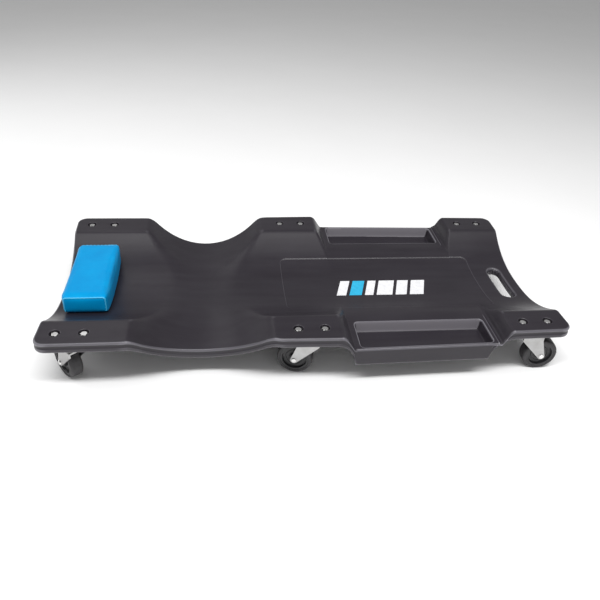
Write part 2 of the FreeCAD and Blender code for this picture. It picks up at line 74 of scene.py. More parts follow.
# The rolled rim and the cove between its two rolls, which fades out where the side is 19 to 26 mm tall
RIM = 3.6 * MM
RIM_TURNS = (18, 36, 54, 72, 90)
RIM_COVE = 1.3 * MM
COVE_WALL = (19 * MM, 26 * MM)
COVE_PROFILE = ((0.12, 0.55), (0.28, 0.95), (0.45, 1.0), (0.58, 0.55), (0.68, 0.12), (0.8, 0.0))
LOWER_LIP = 1.8 * MM

# The lying dish
DISH_HALF = 153 * MM
DISH_DEPTH = 42 * MM
DISH_POWER = 2.5

# The arm scoops: a round valley across the board, and a round bite out of each side
SCOOP_X = -190 * MM
SCOOP_RADIUS = 167 * MM
SCOOP_DEPTH = 45.8 * MM
SCOOP_PLAN_RADIUS = 227 * MM
SCOOP_PLAN_HALF = 185 * MM
SCOOP_PLAN_BLEND = 9 * MM

# The lowered shelf beside the trays, its two ramps, and the ribs on the foot ramp
SHELF_DROP = 26 * MM
SHELF = (66 * MM, 332 * MM)
SHELF_RAMPS = (17 * MM, 13 * MM)
SHELF_BLEND = 4 * MM
RAMP_RIBS = (321.5 * MM, 338.5 * MM)
RAMP_RIB = 0.9 * MM
RAMP_RIB_PITCH = 8.5 * MM
RAMP_RIB_POWER = 6
RAMP_RIB_START = 124 * MM
RAMP_RIB_FADE = 10 * MM

# The block under each tray, with a wheel arch at each end
TRAY_DROP = 60 * MM
TRAY_INNER = 112 * MM
TRAY_SLOPE = 5
TRAY_ARCHES = ((34 * MM, 70 * MM), (359 * MM, 312 * MM))
TRAY_BLEND = 3 * MM

# The tool pocket in each tray
POCKET_X = (78 * MM, 319 * MM)
POCKET_INNER = 142 * MM
POCKET_MARGIN = 6.0 * MM
POCKET_DEPTH = 20 * MM
POCKET_DRAFT = 4.5 * MM
POCKET_CORNER = 8 * MM
POCKET_MOUTH_BLEND = 3.0 * MM
POCKET_FLOOR_BLEND = 5 * MM

# The hand slot
SLOT_X = 417 * MM
SLOT_HALF = (13 * MM, 52 * MM)
SLOT_LIP = 5 * MM
SLOT_ARC_STEPS = 16
SLOT_CUT_LOW = 20 * MM

# The sunk middle panel
PANEL_X = (-35 * MM, 367 * MM)
PANEL_HALF = 89 * MM
PANEL_CORNER = 12 * MM
PANEL_SINK = 1.1 * MM
PANEL_STEP = 1.1 * MM

# Rounded meetings of the dish, the scoops and the shelf with the surface above, on the two faces of the board
TOP_BLENDS = (4 * MM, 9 * MM, 10 * MM)
UNDER_BLENDS = (8 * MM, 10 * MM)

# The counterbored bolt holes
BOLTS = in_mm([(-427, 187), (-381, 187), (-29, 190), (17, 190), (375, 185.5), (421, 185.5)])
HOLE_RADIUS = 3.3 * MM
BORE_RADIUS = 8.5 * MM
BORE_DEPTH = 7 * MM
BORE_FILLET = 0.5 * MM
MOUTH_RADIUS = 10 * MM
MOUTH_ROUND = 1.5 * MM
MOUTH_TURNS = range(0, 91, 15)
HOLE_CUT_BELOW = 40 * MM
HOLE_CUT_ABOVE = 5 * MM
HOLE_SIDES = 40


# ---------------------------------------------------------------- smooth surfaces

def smooth_min(a, b, k):
    """The lower of two heights, with a rounded meeting of width k."""
    h = np.maximum(k - np.abs(a - b), 0) / k
    return np.minimum(a, b) - h * h * k / 4


def smooth_max(a, b, k):
    """The higher of two heights, with a rounded meeting of width k."""
    return -smooth_min(-a, -b, k)


def middle_and_half(ends):
    """The middle of a stretch, and half its length."""
    return (ends[0] + ends[1]) / 2, (ends[1] - ends[0]) / 2


def rounded_box_distance(x, y, half_x, half_y, radius):
    """Distance to a rounded rectangle about the origin, negative inside."""
    dx = np.abs(x) - (half_x - radius)
    dy = np.abs(y) - (half_y - radius)
    outside = np.hypot(np.maximum(dx, 0), np.maximum(dy, 0))
    return outside + np.minimum(np.maximum(dx, dy), 0) - radius


def side_half_width(x):
    """Half the board's width at x, with the arm scoop but without the end corners."""
    widening = np.clip((x - SCOOP_X) / (TAPER_START - SCOOP_X), 0, 1)
    taper = np.clip((x - TAPER_START) / (END_X - TAPER_START), 0, 1)
    side = HALF_HEAD + (HALF_MID - HALF_HEAD) * widening - (HALF_MID - HALF_FOOT) * taper
    reach = np.minimum(np.abs(x - SCOOP_X), SCOOP_PLAN_RADIUS)
    scoop = SCOOP_PLAN_HALF + SCOOP_PLAN_RADIUS - np.sqrt(SCOOP_PLAN_RADIUS ** 2 - reach ** 2)
    return smooth_min(side, scoop, SCOOP_PLAN_BLEND)


def dish_height(y):
    """The lying dish, from the ear tops down."""
    return -DISH_DEPTH * (1 - (np.abs(y) / DISH_HALF) ** DISH_POWER)


def scoop_height(x):
    """The arm scoops' round valley, from the ear tops down."""
    reach = np.minimum(np.abs(x - SCOOP_X), SCOOP_RADIUS)
    return SCOOP_RADIUS - SCOOP_DEPTH - np.sqrt(SCOOP_RADIUS ** 2 - reach ** 2)


def shelf_height(x):
    """The lowered shelf with its two ramps, from the ear tops down."""
    head_ramp = -SHELF_DROP + (SHELF[0] - x) * SHELF_DROP / SHELF_RAMPS[0]
    foot_ramp = -SHELF_DROP + (x - SHELF[1]) * SHELF_DROP / SHELF_RAMPS[1]
    ramps = smooth_max(head_ramp, foot_ramp, SHELF_BLEND)
    return smooth_max(ramps, -SHELF_DROP + 0 * x, SHELF_BLEND)


def pocket_depth(x, y):
    """How far the tool pockets go down under the shelf."""
    middle, half = middle_and_half(POCKET_X)
    outer = side_half_width(x) - POCKET_MARGIN
    centre = (outer + POCKET_INNER) / 2
    half_y = (outer - POCKET_INNER) / 2
    inside = -rounded_box_distance(x - middle, np.abs(y) - centre, half, half_y, POCKET_CORNER)
    wall = smooth_max(inside * POCKET_DEPTH / POCKET_DRAFT, 0 * x, POCKET_MOUTH_BLEND)
    return smooth_min(wall, POCKET_DEPTH + 0 * x, POCKET_FLOOR_BLEND)


def slot_drop(x, y):
    """How far the rolled lip of the hand slot goes down."""
    away = rounded_box_distance(x - SLOT_X, y, SLOT_HALF[0], SLOT_HALF[1], SLOT_HALF[0])
    share = np.clip(1 - away / SLOT_LIP, 0, 1)
    return SLOT_LIP * (1 - np.sqrt(1 - share ** 2))


def panel_sink(x, y):
    """How far the middle panel is sunk, with a soft step around it."""
    middle, half = middle_and_half(PANEL_X)
    away = rounded_box_distance(x - middle, y, half, PANEL_HALF, PANEL_CORNER)
    share = np.clip(0.5 - away / (2 * PANEL_STEP), 0, 1)
    return PANEL_SINK * share ** 2 * (3 - 2 * share)


def ramp_ribs(x, y):
    """The fine ribs across the foot ramp, outside the dish."""
    across = np.clip((np.abs(y) - RAMP_RIB_START) / RAMP_RIB_FADE, 0, 1)
    start, end = RAMP_RIBS
    inside = (x > start) & (x < end)
    wave = np.abs(np.sin(math.pi * (x - start) / RAMP_RIB_PITCH)) ** RAMP_RIB_POWER
    return np.where(inside, RAMP_RIB * wave * across, 0)


def top_height(x, y):
    """The board's upper face."""
    z = smooth_min(dish_height(y), 0 * x, TOP_BLENDS[0])
    z = smooth_min(z, scoop_height(x), TOP_BLENDS[1])
    z = smooth_min(z, shelf_height(x), TOP_BLENDS[2]) + ramp_ribs(x, y)
    return EAR_TOP + z - pocket_depth(x, y) - slot_drop(x, y) - panel_sink(x, y)


def board_at(x, y):
    """The height of the board's upper face at one point."""
    return float(top_height(np.array(x), np.array(y)))


def arch_height(x):
    """The tray block's lower face along the board, with a wheel arch at each end."""
    block = TRAY_DROP - BOARD_DEPTH
    z = -BOARD_DEPTH - block + 0 * x
    for ear, base in TRAY_ARCHES:
        share = np.clip((x - ear) / (base - ear), 0, 1)
        z = np.maximum(z, -BOARD_DEPTH - block * (1 - np.sqrt(1 - share ** 2)))
    return z


def under_height(x, y):
    """The board's lower face."""
    z = smooth_min(dish_height(y), 0 * x, UNDER_BLENDS[0])
    z = smooth_min(z, scoop_height(x), UNDER_BLENDS[1]) - BOARD_DEPTH
    wall = -TRAY_DROP + np.maximum(TRAY_INNER - np.abs(y), 0) * TRAY_SLOPE
    block = smooth_max(arch_height(x), wall, TRAY_BLEND)
    inside = (x > TRAY_ARCHES[0][0]) & (x < TRAY_ARCHES[1][0])
    z = np.where(inside, np.minimum(z, block), z)
    return EAR_TOP + z + slot_drop(x, y)


# ---------------------------------------------------------------- meshes

WELD_DISTANCE = 1e-6


def link_object(name, data):
    """A new object in the scene."""
    made = bpy.data.objects.new(name, data)
    bpy.context.scene.collection.objects.link(made)
    return made


def dress(mesh, material):
    """Give a mesh one material in place of those it has."""
    mesh.materials.clear()
    mesh.materials.append(material)


def shade_smooth(mesh, smooth=True):
    """Set the shading of all faces."""
    mesh.polygons.foreach_set("use_smooth", [smooth] * len(mesh.polygons))


def mesh_object(name, points, faces, smooth=True):
    """A new mesh object from points and faces."""
    mesh = bpy.data.meshes.new(name)
    mesh.from_pydata([tuple(p) for p in points], [], [tuple(f) for f in faces])
    mesh.validate()
    shade_smooth(mesh, smooth)
    return link_object(name, mesh)


def loop_around(count_x, count_y):
    """Grid places around the edge, anticlockwise seen from above."""
    loop = [(i, 0) for i in range(count_x)]
    loop += [(count_x - 1, j) for j in range(1, count_y)]
    loop += [(i, count_y - 1) for i in range(count_x - 2, -1, -1)]
    loop += [(0, j) for j in range(count_y - 2, 0, -1)]
    return loop


def sheet_faces(count_x, count_y):
    """The quads of a grid of points, and the loop of points around its edge."""
    place = np.arange(count_x * count_y).reshape(count_x, count_y)
    corners = [place[:-1, :-1], place[1:, :-1], place[1:, 1:], place[:-1, 1:]]
    loop = np.array([place[i, j] for i, j in loop_around(count_x, count_y)])
    return np.stack(corners, 2).reshape(-1, 4), loop


def band_faces(upper, lower):
    """The quads between two closed rings of points."""
    return np.stack([upper, lower, np.roll(lower, -1), np.roll(upper, -1)], 1)


def weld(made):
    """Merge points that meet, and turn every face outwards."""
    work = bmesh.new()
    work.from_mesh(made.data)
    bmesh.ops.remove_doubles(work, verts=work.verts, dist=WELD_DISTANCE)
    bmesh.ops.dissolve_degenerate(work, edges=work.edges, dist=WELD_DISTANCE)
    bmesh.ops.recalc_face_normals(work, faces=work.faces)
    work.to_mesh(made.data)
    work.free()


def turned_form(name, profile, sides, centre):
    """A solid of revolution about an upright axis, from (radius, height) points that begin and end on it."""
    count = len(profile)
    points = []
    faces = []
    for i in range(sides):
        turn = 2 * math.pi * i / sides
        for radius, height in profile:
            points.append(Vector((radius * math.cos(turn), radius * math.sin(turn), height)) + centre)
        here = i * count
        there = (i + 1) % sides * count
        faces += [(here + j, there + j, there + j + 1, here + j + 1) for j in range(count - 1)]
    made = mesh_object(name, points, faces)
    weld(made)
    return made


def settle(made):
    """Apply a piece's modifiers, so that its mesh is final."""
    bpy.context.view_layer.update()
    ready = made.evaluated_get(bpy.context.evaluated_depsgraph_get())
    mesh = bpy.data.meshes.new_from_object(ready)
    made.modifiers.clear()
    made.data = mesh


def cut(made, cutters):
    """Take the cutters' space out of a piece."""
    bpy.ops.object.select_all(action="DESELECT")
    for cutter in cutters:
        cutter.select_set(True)
    bpy.context.view_layer.objects.active = cutters[0]
    bpy.ops.object.join()
    tool = bpy.context.view_layer.objects.active
    step = made.modifiers.new("cut", "BOOLEAN")
    step.operation = "DIFFERENCE"
    step.solver = "EXACT"
    step.object = tool
    settle(made)
    bpy.data.objects.remove(tool)


def sharpen(made, angle):
    """Keep edges above an angle crisp in the shading."""
    work = bmesh.new()
    work.from_mesh(made.data)
    for edge in work.edges:
        if len(edge.link_faces) == 2 and edge.calc_face_angle(0) > angle:
            edge.smooth = False
    work.to_mesh(made.data)
    work.free()


# ---------------------------------------------------------------- board

# The grid's usual step and, as (start, end, step), the stretches where it is finer. The outer part of each half
# is counted in shares of its width, so that its lines follow the side of the board.
GRID_STEP = 4 * MM
ALONG_WINDOWS = in_mm([
    (-312, -296, 2.0), (-84, -68, 2.0), (-38, -14, 0.9), (32, 76, 1.2), (76, 90, 0.9),
    (307, 354, 0.8), (354, 370, 0.9), (396, 438, 1.3),
])
ACROSS_WINDOWS = in_mm([
    (40, 64, 1.6), (70, 84, 1.2), (84, 92, 0.7), (100, 116, 1.5), (139, 150, 0.8), (150, 158, 1.5),
])
INNER_HALF = 160 * MM
OUTER_STEP = 0.08
OUTER_WINDOWS = [(0.76, 1.0, 0.018)]
CORNER_LINES = 8

# The shortest last step, as a share of the usual one, and the angle above which an edge stays crisp
SHORTEST_STEP = 0.3
CREASE_ANGLE = math.radians(40)


def spaced(start, end, step, windows):
    """Positions from start to end, a step apart, and closer together inside each window."""
    marks = [start]
    while marks[-1] < end:
        here = marks[-1]
        stride = step
        for low, high, fine in windows:
            if low <= here < high:
                stride = min(stride, fine)
            elif here < low < here + stride:
                stride = low - here
        marks.append(here + stride)
    kept = marks[:-1] if end - marks[-2] > SHORTEST_STEP * step else marks[:-2]
    return kept + [end]


def board_lines():
    """The grid's lines along the board, across its inner part and, as shares, across its outer part."""
    straight = END_X - CORNER
    turn = (CORNER - RIM) * np.sin(np.radians(np.linspace(0, 90, CORNER_LINES + 1)[1:]))
    along = spaced(-straight, straight, GRID_STEP, ALONG_WINDOWS)
    along = list(-straight - turn[::-1]) + along + list(straight + turn)
    inner = spaced(0.0, INNER_HALF, GRID_STEP, ACROSS_WINDOWS)
    outer = spaced(0.0, 1.0, OUTER_STEP, OUTER_WINDOWS)
    return np.array(along), np.array(inner), np.array(outer[1:])


def board_grid():
    """The plan positions of the grid, inset by the rim's radius."""
    along, inner, outer = board_lines()
    corner = CORNER - RIM
    past = np.clip(np.abs(along) - (END_X - CORNER), 0, corner)
    edge = side_half_width(along) - RIM - corner + np.sqrt(corner ** 2 - past ** 2)
    start = inner[-1]
    half = np.concatenate([
        np.repeat(inner[None, :], len(along), 0),
        start + (edge[:, None] - start) * outer[None, :],
    ], axis=1)
    y = np.concatenate([-half[:, :0:-1], half], axis=1)
    x = np.repeat(along[:, None], y.shape[1], 1)
    pull = np.clip((np.abs(x) - END_HOLLOW_START) / (END_X - END_HOLLOW_START), 0, 1) ** 2
    hollow = END_HOLLOW * (1 - (y / edge.max()) ** 2) * pull
    return x - np.sign(x) * hollow, y


def rim_rings(upper, lower):
    """The rings of points down the board's side, between the edges of its two faces."""
    edge = upper[:, :2]
    high = upper[:, 2]
    low = lower[:, 2]
    tangent = np.roll(edge, -1, 0) - np.roll(edge, 1, 0)
    tangent /= np.linalg.norm(tangent, axis=1)[:, None]
    normal = np.stack([tangent[:, 1], -tangent[:, 0]], 1)
    rolls = [(normal * RIM * math.sin(turn), RIM * (1 - math.cos(turn))) for turn in np.radians(RIM_TURNS)]
    rings = [np.column_stack([edge + out, high - drop]) for out, drop in rolls]
    wall = high - low - 2 * RIM
    shallow = np.clip((COVE_WALL[1] - wall - 2 * RIM) / (COVE_WALL[1] - COVE_WALL[0]), 0, 1)
    for share, depth in COVE_PROFILE:
        out = normal * (RIM - RIM_COVE * depth * shallow)[:, None]
        rings.append(np.column_stack([edge + out, high - RIM - wall * share]))
    return rings + [np.column_stack([edge + out, low + drop]) for out, drop in rolls[::-1]]


def board_shell():
    """The closed skin of the board: upper face, rolled rim and lower face."""
    x, y = board_grid()
    count = x.size
    quads, loop = sheet_faces(*x.shape)
    top = np.stack([x, y, top_height(x, y)], 2).reshape(-1, 3)
    under = np.stack([x, y, under_height(x, y)], 2).reshape(-1, 3)
    under[loop, 2] -= LOWER_LIP
    rings = rim_rings(top[loop], under[loop])
    first = 2 * count
    chain = [loop] + [first + len(loop) * k + np.arange(len(loop)) for k in range(len(rings))] + [loop + count]
    faces = [quads, quads[:, ::-1] + count]
    faces += [band_faces(a, b) for a, b in zip(chain[:-1], chain[1:])]
    return mesh_object("board", np.concatenate([top, under] + rings), np.concatenate(faces))


def bolt_cutter(x, y):
    """The space of one counterbored hole, with a rounded mouth."""
    low = EAR_TOP - HOLE_CUT_BELOW
    high = EAR_TOP + HOLE_CUT_ABOVE
    floor = EAR_TOP - BORE_DEPTH
    profile = [
        (0.0, low), (HOLE_RADIUS, low), (HOLE_RADIUS, floor),
        (BORE_RADIUS - BORE_FILLET, floor), (BORE_RADIUS, floor + BORE_FILLET),
    ]
    for angle in np.radians(MOUTH_TURNS):
        drop = MOUTH_ROUND * (1 - math.sin(angle))
        profile.append((MOUTH_RADIUS - MOUTH_ROUND * math.cos(angle), EAR_TOP - drop))
    profile += [(MOUTH_RADIUS, high), (0.0, high)]
    return turned_form("cutter", profile, HOLE_SIDES, Vector((x, y, 0)))


def slot_cutter():
    """The hand slot's through space."""
    radius, half = SLOT_HALF
    outline = []
    for centre, start in ((half - radius, 0), (radius - half, 180)):
        for i in range(SLOT_ARC_STEPS + 1):
            angle = math.radians(start + 180 * i / SLOT_ARC_STEPS)
            outline.append((SLOT_X + radius * math.cos(angle), centre + radius * math.sin(angle)))
    count = len(outline)
    points = [(x, y, z) for z in (SLOT_CUT_LOW, EAR_TOP) for x, y in outline]
    faces = [tuple(range(count - 1, -1, -1)), tuple(range(count, 2 * count))]
    faces += [(i, (i + 1) % count, (i + 1) % count + count, i + count) for i in range(count)]
    return mesh_object("cutter", points, faces)


def build_board():
    """The moulded body board."""
    board = board_shell()
    cut(board, [bolt_cutter(x, side * y) for x, y in BOLTS for side in (1, -1)] + [slot_cutter()])
    sharpen(board, CREASE_ANGLE)
    dress(board.data, MATERIALS["board_plastic"])
    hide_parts("body_board")
    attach(board, "root")


# ---------------------------------------------------------------- materials

# The sockets of a colour mix node, which have no names of their own
MIX_SHARE = 0
MIX_COLORS = (6, 7)
MIX_RESULT = 2


class Paint:
    """A node material under construction, with short ways to add and join nodes."""

    def __init__(self, name):
        self.material = bpy.data.materials.new(name)
        self.material.use_nodes = True
        self.nodes = self.material.node_tree.nodes
        self.links = self.material.node_tree.links
        self.shader = self.nodes["Principled BSDF"]
        self.place = self.add("ShaderNodeTexCoord").outputs["Object"]

    def add(self, kind, **values):
        """A node, with its inputs set by name or its properties by keyword."""
        node = self.nodes.new(kind)
        for key, value in values.items():
            label = key.replace("_", " ").title()
            if label in node.inputs:
                node.inputs[label].default_value = value
            else:
                setattr(node, key, value)
        return node

    def join(self, source, target):
        """Lead a node's output into an input."""
        self.links.new(source, target)

    def set(self, label, value):
        """A constant value on the shader."""
        self.shader.inputs[label].default_value = value

    def cover(self, color, roughness):
        """The shader's colour and roughness, from node outputs."""
        self.join(color, self.shader.inputs["Base Color"])
        self.join(roughness, self.shader.inputs["Roughness"])

    def texture(self, kind, **values):
        """A texture node on the object coordinates."""
        node = self.add(kind, **values)
        self.join(self.place, node.inputs["Vector"])
        return node

    def parts(self, vector):
        """The three parts of a vector, by axis name."""
        node = self.add("ShaderNodeSeparateXYZ")
        self.join(vector, node.inputs["Vector"])
        return node.outputs

    def stretched(self, scale):
        """Object coordinates scaled along each axis."""
        node = self.add("ShaderNodeMapping")
        node.inputs["Scale"].default_value = scale
        self.join(self.place, node.inputs["Vector"])
        return node.outputs["Vector"]

    def noise(self, scale, detail=4.0, roughness=0.6, vector=None):
        """A noise value from 0 to 1."""
        node = self.add("ShaderNodeTexNoise", scale=scale, detail=detail, roughness=roughness)
        self.join(vector or self.place, node.inputs["Vector"])
        return node.outputs["Fac"]

    def ramp(self, source, stops):
        """A colour ramp on a value, from (position, colour) stops."""
        node = self.add("ShaderNodeValToRGB")
        elements = node.color_ramp.elements
        while len(elements) < len(stops):
            elements.new(0.5)
        for element, (position, color) in zip(elements, stops):
            element.position = position
            element.color = (*color, 1.0)
        self.join(source, node.inputs["Fac"])
        return node.outputs["Color"]

    def span(self, source, low, high, start=0.0, end=1.0):
        """A value moved from one range to another."""
        node = self.add("ShaderNodeMapRange")
        for label, value in (("From Min", start), ("From Max", end), ("To Min", low), ("To Max", high)):
            node.inputs[label].default_value = value
        self.join(source, node.inputs["Value"])
        return node.outputs["Result"]

    def math(self, operation, a, b):
        """Two values joined by an operation; either may be a number."""
        node = self.add("ShaderNodeMath", operation=operation)
        for socket, value in zip(node.inputs, (a, b)):
            if isinstance(value, (int, float)):
                socket.default_value = value
            else:
                self.join(value, socket)
        return node.outputs["Value"]

    def mix(self, share, a, b):
        """Two colours mixed by a value; either may be a fixed colour."""
        node = self.add("ShaderNodeMix", data_type="RGBA")
        self.join(share, node.inputs[MIX_SHARE])
        for index, value in zip(MIX_COLORS, (a, b)):
            if isinstance(value, tuple):
                node.inputs[index].default_value = (*value, 1.0)
            else:
                self.join(value, node.inputs[index])
        return node.outputs[MIX_RESULT]

    def relief(self, *layers):
        """Bumps, each (value, height in metres), one on top of the other."""
        normal = None
        for value, height in layers:
            bump = self.add("ShaderNodeBump")
            bump.inputs["Strength"].default_value = 1.0
            bump.inputs["Distance"].default_value = height
            self.join(value, bump.inputs["Height"])
            if normal:
                self.join(normal, bump.inputs["Normal"])
            normal = bump.outputs["Normal"]
        self.join(normal, self.shader.inputs["Normal"])

    def edges(self):
        """A value that is high on convex edges."""
        return self.add("ShaderNodeNewGeometry").outputs["Pointiness"]


# How far a face has to turn to the side to count as a wall, and how far walls reach past the pocket's limits
WALL_FACING = (0.6, 0.85)
WALL_MARGIN = 1 * MM
WALL_OUTER_MARGIN = 2 * MM


def pocket_walls(paint):
    """1 on the long upright walls inside the tool trays, where the plastic is painted lighter as painted light and
    made rougher.
    """
    place = paint.parts(paint.place)
    normal = paint.parts(paint.add("ShaderNodeNewGeometry").outputs["Normal"])
    shelf = EAR_TOP - SHELF_DROP
    across = paint.math("ABSOLUTE", place["Y"], 0.0)
    # The board narrows towards the foot. With its slant added, the outer wall has one limit all along.
    slant = float(np.subtract(*side_half_width(np.array(POCKET_X))) / (POCKET_X[1] - POCKET_X[0]))
    reach = paint.math("ADD", across, paint.math("MULTIPLY", place["X"], slant))
    outer = float(side_half_width(np.array(POCKET_X[0]))) + slant * POCKET_X[0] - POCKET_MARGIN
    ranges = (
        (place["Z"], shelf - POCKET_DEPTH, shelf),
        (place["X"], POCKET_X[0] - WALL_MARGIN, POCKET_X[1] + WALL_MARGIN),
        (across, POCKET_INNER - WALL_MARGIN, HALF_HEAD),
        (reach, 0.0, outer + WALL_OUTER_MARGIN),
    )
    share = paint.span(paint.math("ABSOLUTE", normal["Y"], 0.0), 0.0, 1.0, *WALL_FACING)
    for value, low, high in ranges:
        share = paint.math("MULTIPLY", share, paint.math("GREATER_THAN", value, low))
        share = paint.math("MULTIPLY", share, paint.math("LESS_THAN", value, high))
    return share


def board_plastic():
    """Dark blow-moulded polyethylene: sand grain and faint flow streaks, with a painted highlight on convex edges,
    and tray walls painted lighter as painted light and made rougher.
    """
    dark, light = (0.0140, 0.0110, 0.0160), (0.0190, 0.0155, 0.0215)
    # The first is the flow streaks' colour. The second is a pale painted highlight for convex edges, and the third
    # a lighter painted tone that stands in for light falling on the tray walls.
    streaked, painted_edge_highlight, painted_wall_light = (0.036, 0.034, 0.040), (0.36, 0.35, 0.39), (0.155, 0.146, 0.164)
    paint = Paint("board_plastic")
    cloud = paint.noise(9.0, detail=5.0, roughness=0.55)
    streak = paint.noise(60.0, detail=3.0, roughness=0.5, vector=paint.stretched((0.12, 1.0, 1.0)))
    brushed = paint.noise(420.0, detail=2.0, roughness=0.5, vector=paint.stretched((0.03, 1.0, 1.0)))
    grain = paint.noise(1700.0, detail=2.0, roughness=0.5)
    wave = paint.noise(28.0, detail=2.0, roughness=0.4)
    edge_highlight_share = paint.span(paint.edges(), 0.0, 1.0, start=0.51, end=0.575)
    walls = pocket_walls(paint)
    tint = paint.ramp(cloud, [(0.3, dark), (0.7, light)])
    tint = paint.mix(paint.span(streak, 0.0, 0.25, start=0.35, end=0.75), tint, streaked)
    # Painted highlight: the convex edges, picked out by pointiness, are mixed towards a pale grey.
    tint = paint.mix(paint.math("MULTIPLY", edge_highlight_share, 0.9), tint, painted_edge_highlight)
    # Painted light: the upright tray walls are tinted lighter, as though lit from the front.
    tint = paint.mix(walls, tint, painted_wall_light)
    rough = paint.span(paint.noise(35.0), 0.28, 0.40)
    rough = paint.math("ADD", rough, paint.math("MULTIPLY", walls, 0.22))
    paint.cover(tint, rough)
    paint.relief((grain, 0.04 * MM), (streak, 0.07 * MM), (brushed, 0.03 * MM), (wave, 0.2 * MM))
    paint.set("Specular IOR Level", 0.4)
    return paint.material


def pillow_vinyl():
    """Azure vinyl: leather-like pebbles, slow colour drift and a soft shine."""
    paint = Paint("pillow_vinyl")
    pebble = paint.texture("ShaderNodeTexVoronoi", scale=900.0)
    crease = paint.noise(70.0, detail=5.0, roughness=0.65)
    tint = paint.ramp(paint.noise(22.0, detail=3.0), [(0.3, (0.0, 0.235, 0.54)), (0.7, (0.0, 0.285, 0.60))])
    paint.cover(tint, paint.span(paint.noise(140.0, detail=3.0), 0.32, 0.46))
    paint.relief((pebble.outputs["Distance"], 0.09 * MM), (crease, 0.25 * MM))
    paint.set("Specular IOR Level", 0.25)
    paint.set("Specular Tint", (0.12, 0.72, 1.0, 1.0))
    return paint.material


def pillow_piping():
    """Vinyl-wrapped piping, painted a lighter blue than the cushion as a painted highlight along the seams, with
    fine gathers across it whose colour is lighter on their crests and darker in their hollows as painted shade.
    """
    paint = Paint("pillow_piping")
    gather = paint.texture("ShaderNodeTexWave", scale=260.0, distortion=1.5).outputs["Fac"]
    # Painted highlight and shade: a lighter blue than the cushion, lightest on the gathers' crests and darkest in
    # their hollows.
    tint = paint.ramp(gather, [(0.0, (0.03, 0.42, 0.74)), (1.0, (0.10, 0.56, 0.86))])
    paint.cover(tint, paint.span(paint.noise(300.0), 0.22, 0.36))
    paint.relief((gather, 0.1 * MM))
    return paint.material


def zinc(name, bright, low_rough, high_rough):
    """Bright steel: crystal mottling, rolling marks and a few dull spots."""
    paint = Paint(name)
    cell = paint.texture("ShaderNodeTexVoronoi", scale=260.0)
    roll = paint.noise(700.0, detail=2.0, roughness=0.5, vector=paint.stretched((1.0, 1.0, 0.06)))
    mottle = paint.noise(55.0)
    dull = (bright * 0.80, bright * 0.79, bright * 0.78)
    tint = paint.ramp(mottle, [(0.3, dull), (0.7, (bright, bright, bright))])
    paint.cover(tint, paint.span(mottle, low_rough, high_rough))
    paint.relief((cell.outputs["Distance"], 0.02 * MM), (roll, 0.03 * MM))
    paint.set("Metallic", 1.0)
    return paint.material


def wheel_plastic():
    """Hard black wheel plastic with a fine grain and faint dust."""
    paint = Paint("wheel_plastic")
    dust = paint.noise(45.0, detail=5.0)
    tint = paint.ramp(dust, [(0.35, (0.012, 0.012, 0.014)), (0.75, (0.028, 0.027, 0.029))])
    paint.cover(tint, paint.span(paint.noise(120.0), 0.28, 0.42))
    paint.relief((paint.noise(1300.0, detail=2.0), 0.03 * MM))
    return paint.material


def tyre_rubber():
    """Hard dark tread with scuffs and a little grey dust."""
    paint = Paint("tyre_rubber")
    dust = paint.noise(60.0, detail=6.0, roughness=0.7)
    tint = paint.ramp(dust, [(0.35, (0.016, 0.015, 0.017)), (0.72, (0.050, 0.047, 0.050))])
    paint.cover(tint, paint.span(dust, 0.45, 0.75))
    paint.relief((paint.noise(900.0, detail=3.0), 0.06 * MM), (paint.noise(150.0), 0.12 * MM))
    return paint.material


def filler(name, dark, light, scale):
    """A plain hidden filler, foam or board, with a mottled surface."""
    paint = Paint(name)
    cells = paint.noise(scale)
    paint.cover(paint.ramp(cells, [(0.3, dark), (0.7, light)]), paint.span(cells, 0.6, 0.9))
    paint.relief((cells, 0.2 * MM))
    return paint.material


def floor_paper():
    """The pale studio floor."""
    paint = Paint("floor_paper")
    tint = paint.ramp(paint.noise(3.0), [(0.3, (0.95, 0.95, 0.95)), (0.7, (0.97, 0.97, 0.97))])
    paint.join(tint, paint.shader.inputs["Base Color"])
    paint.set("Roughness", 0.85)
    return paint.material


def print_ink(name, color):
    """Screen-printed ink, with slight wear."""
    paint = Paint(name)
    wear = paint.noise(160.0, detail=5.0, roughness=0.7)
    faded = tuple(0.82 * c for c in color)
    paint.cover(paint.ramp(wear, [(0.3, faded), (0.6, color)]), paint.span(wear, 0.4, 0.6))
    paint.relief((paint.noise(1500.0, detail=2.0), 0.03 * MM))
    return paint.material


MATERIALS = {
    "board_plastic": board_plastic(),
    "pillow_vinyl": pillow_vinyl(),
    "foam": filler("foam", (0.55, 0.50, 0.35), (0.72, 0.68, 0.52), 900.0),
    "backing": filler("backing", (0.28, 0.18, 0.10), (0.42, 0.30, 0.18), 60.0),
    "zinc_fastener": zinc("zinc_fastener", 0.86, 0.20, 0.34),
    "zinc_pressing": zinc("zinc_pressing", 0.48, 0.26, 0.42),
    "ball_steel": zinc("ball_steel", 0.82, 0.10, 0.18),
    "wheel_plastic": wheel_plastic(),
    "tyre_rubber": tyre_rubber(),
}


def paint_frame():
    """Every carried-over CAD node gets its slot's finished material."""
    for row in frame["record"]["subparts"]:
        dress(frame["nodes"][row["node"]].data, MATERIALS[row["material_slot"]])


# ---------------------------------------------------------------- camera, light and floor

# Where the camera stands, how far it is turned about the vertical, tipped down and rolled, and its lens
CAMERA_PLACE = (-0.1533, -1.0058, 0.7321)
CAMERA_TURN = 0.1504
CAMERA_DIP = 0.606
CAMERA_ROLL = 0.067
CAMERA_LENS = 36.72
CAMERA_SENSOR = 36.0
CAMERA_CLIP = 0.01

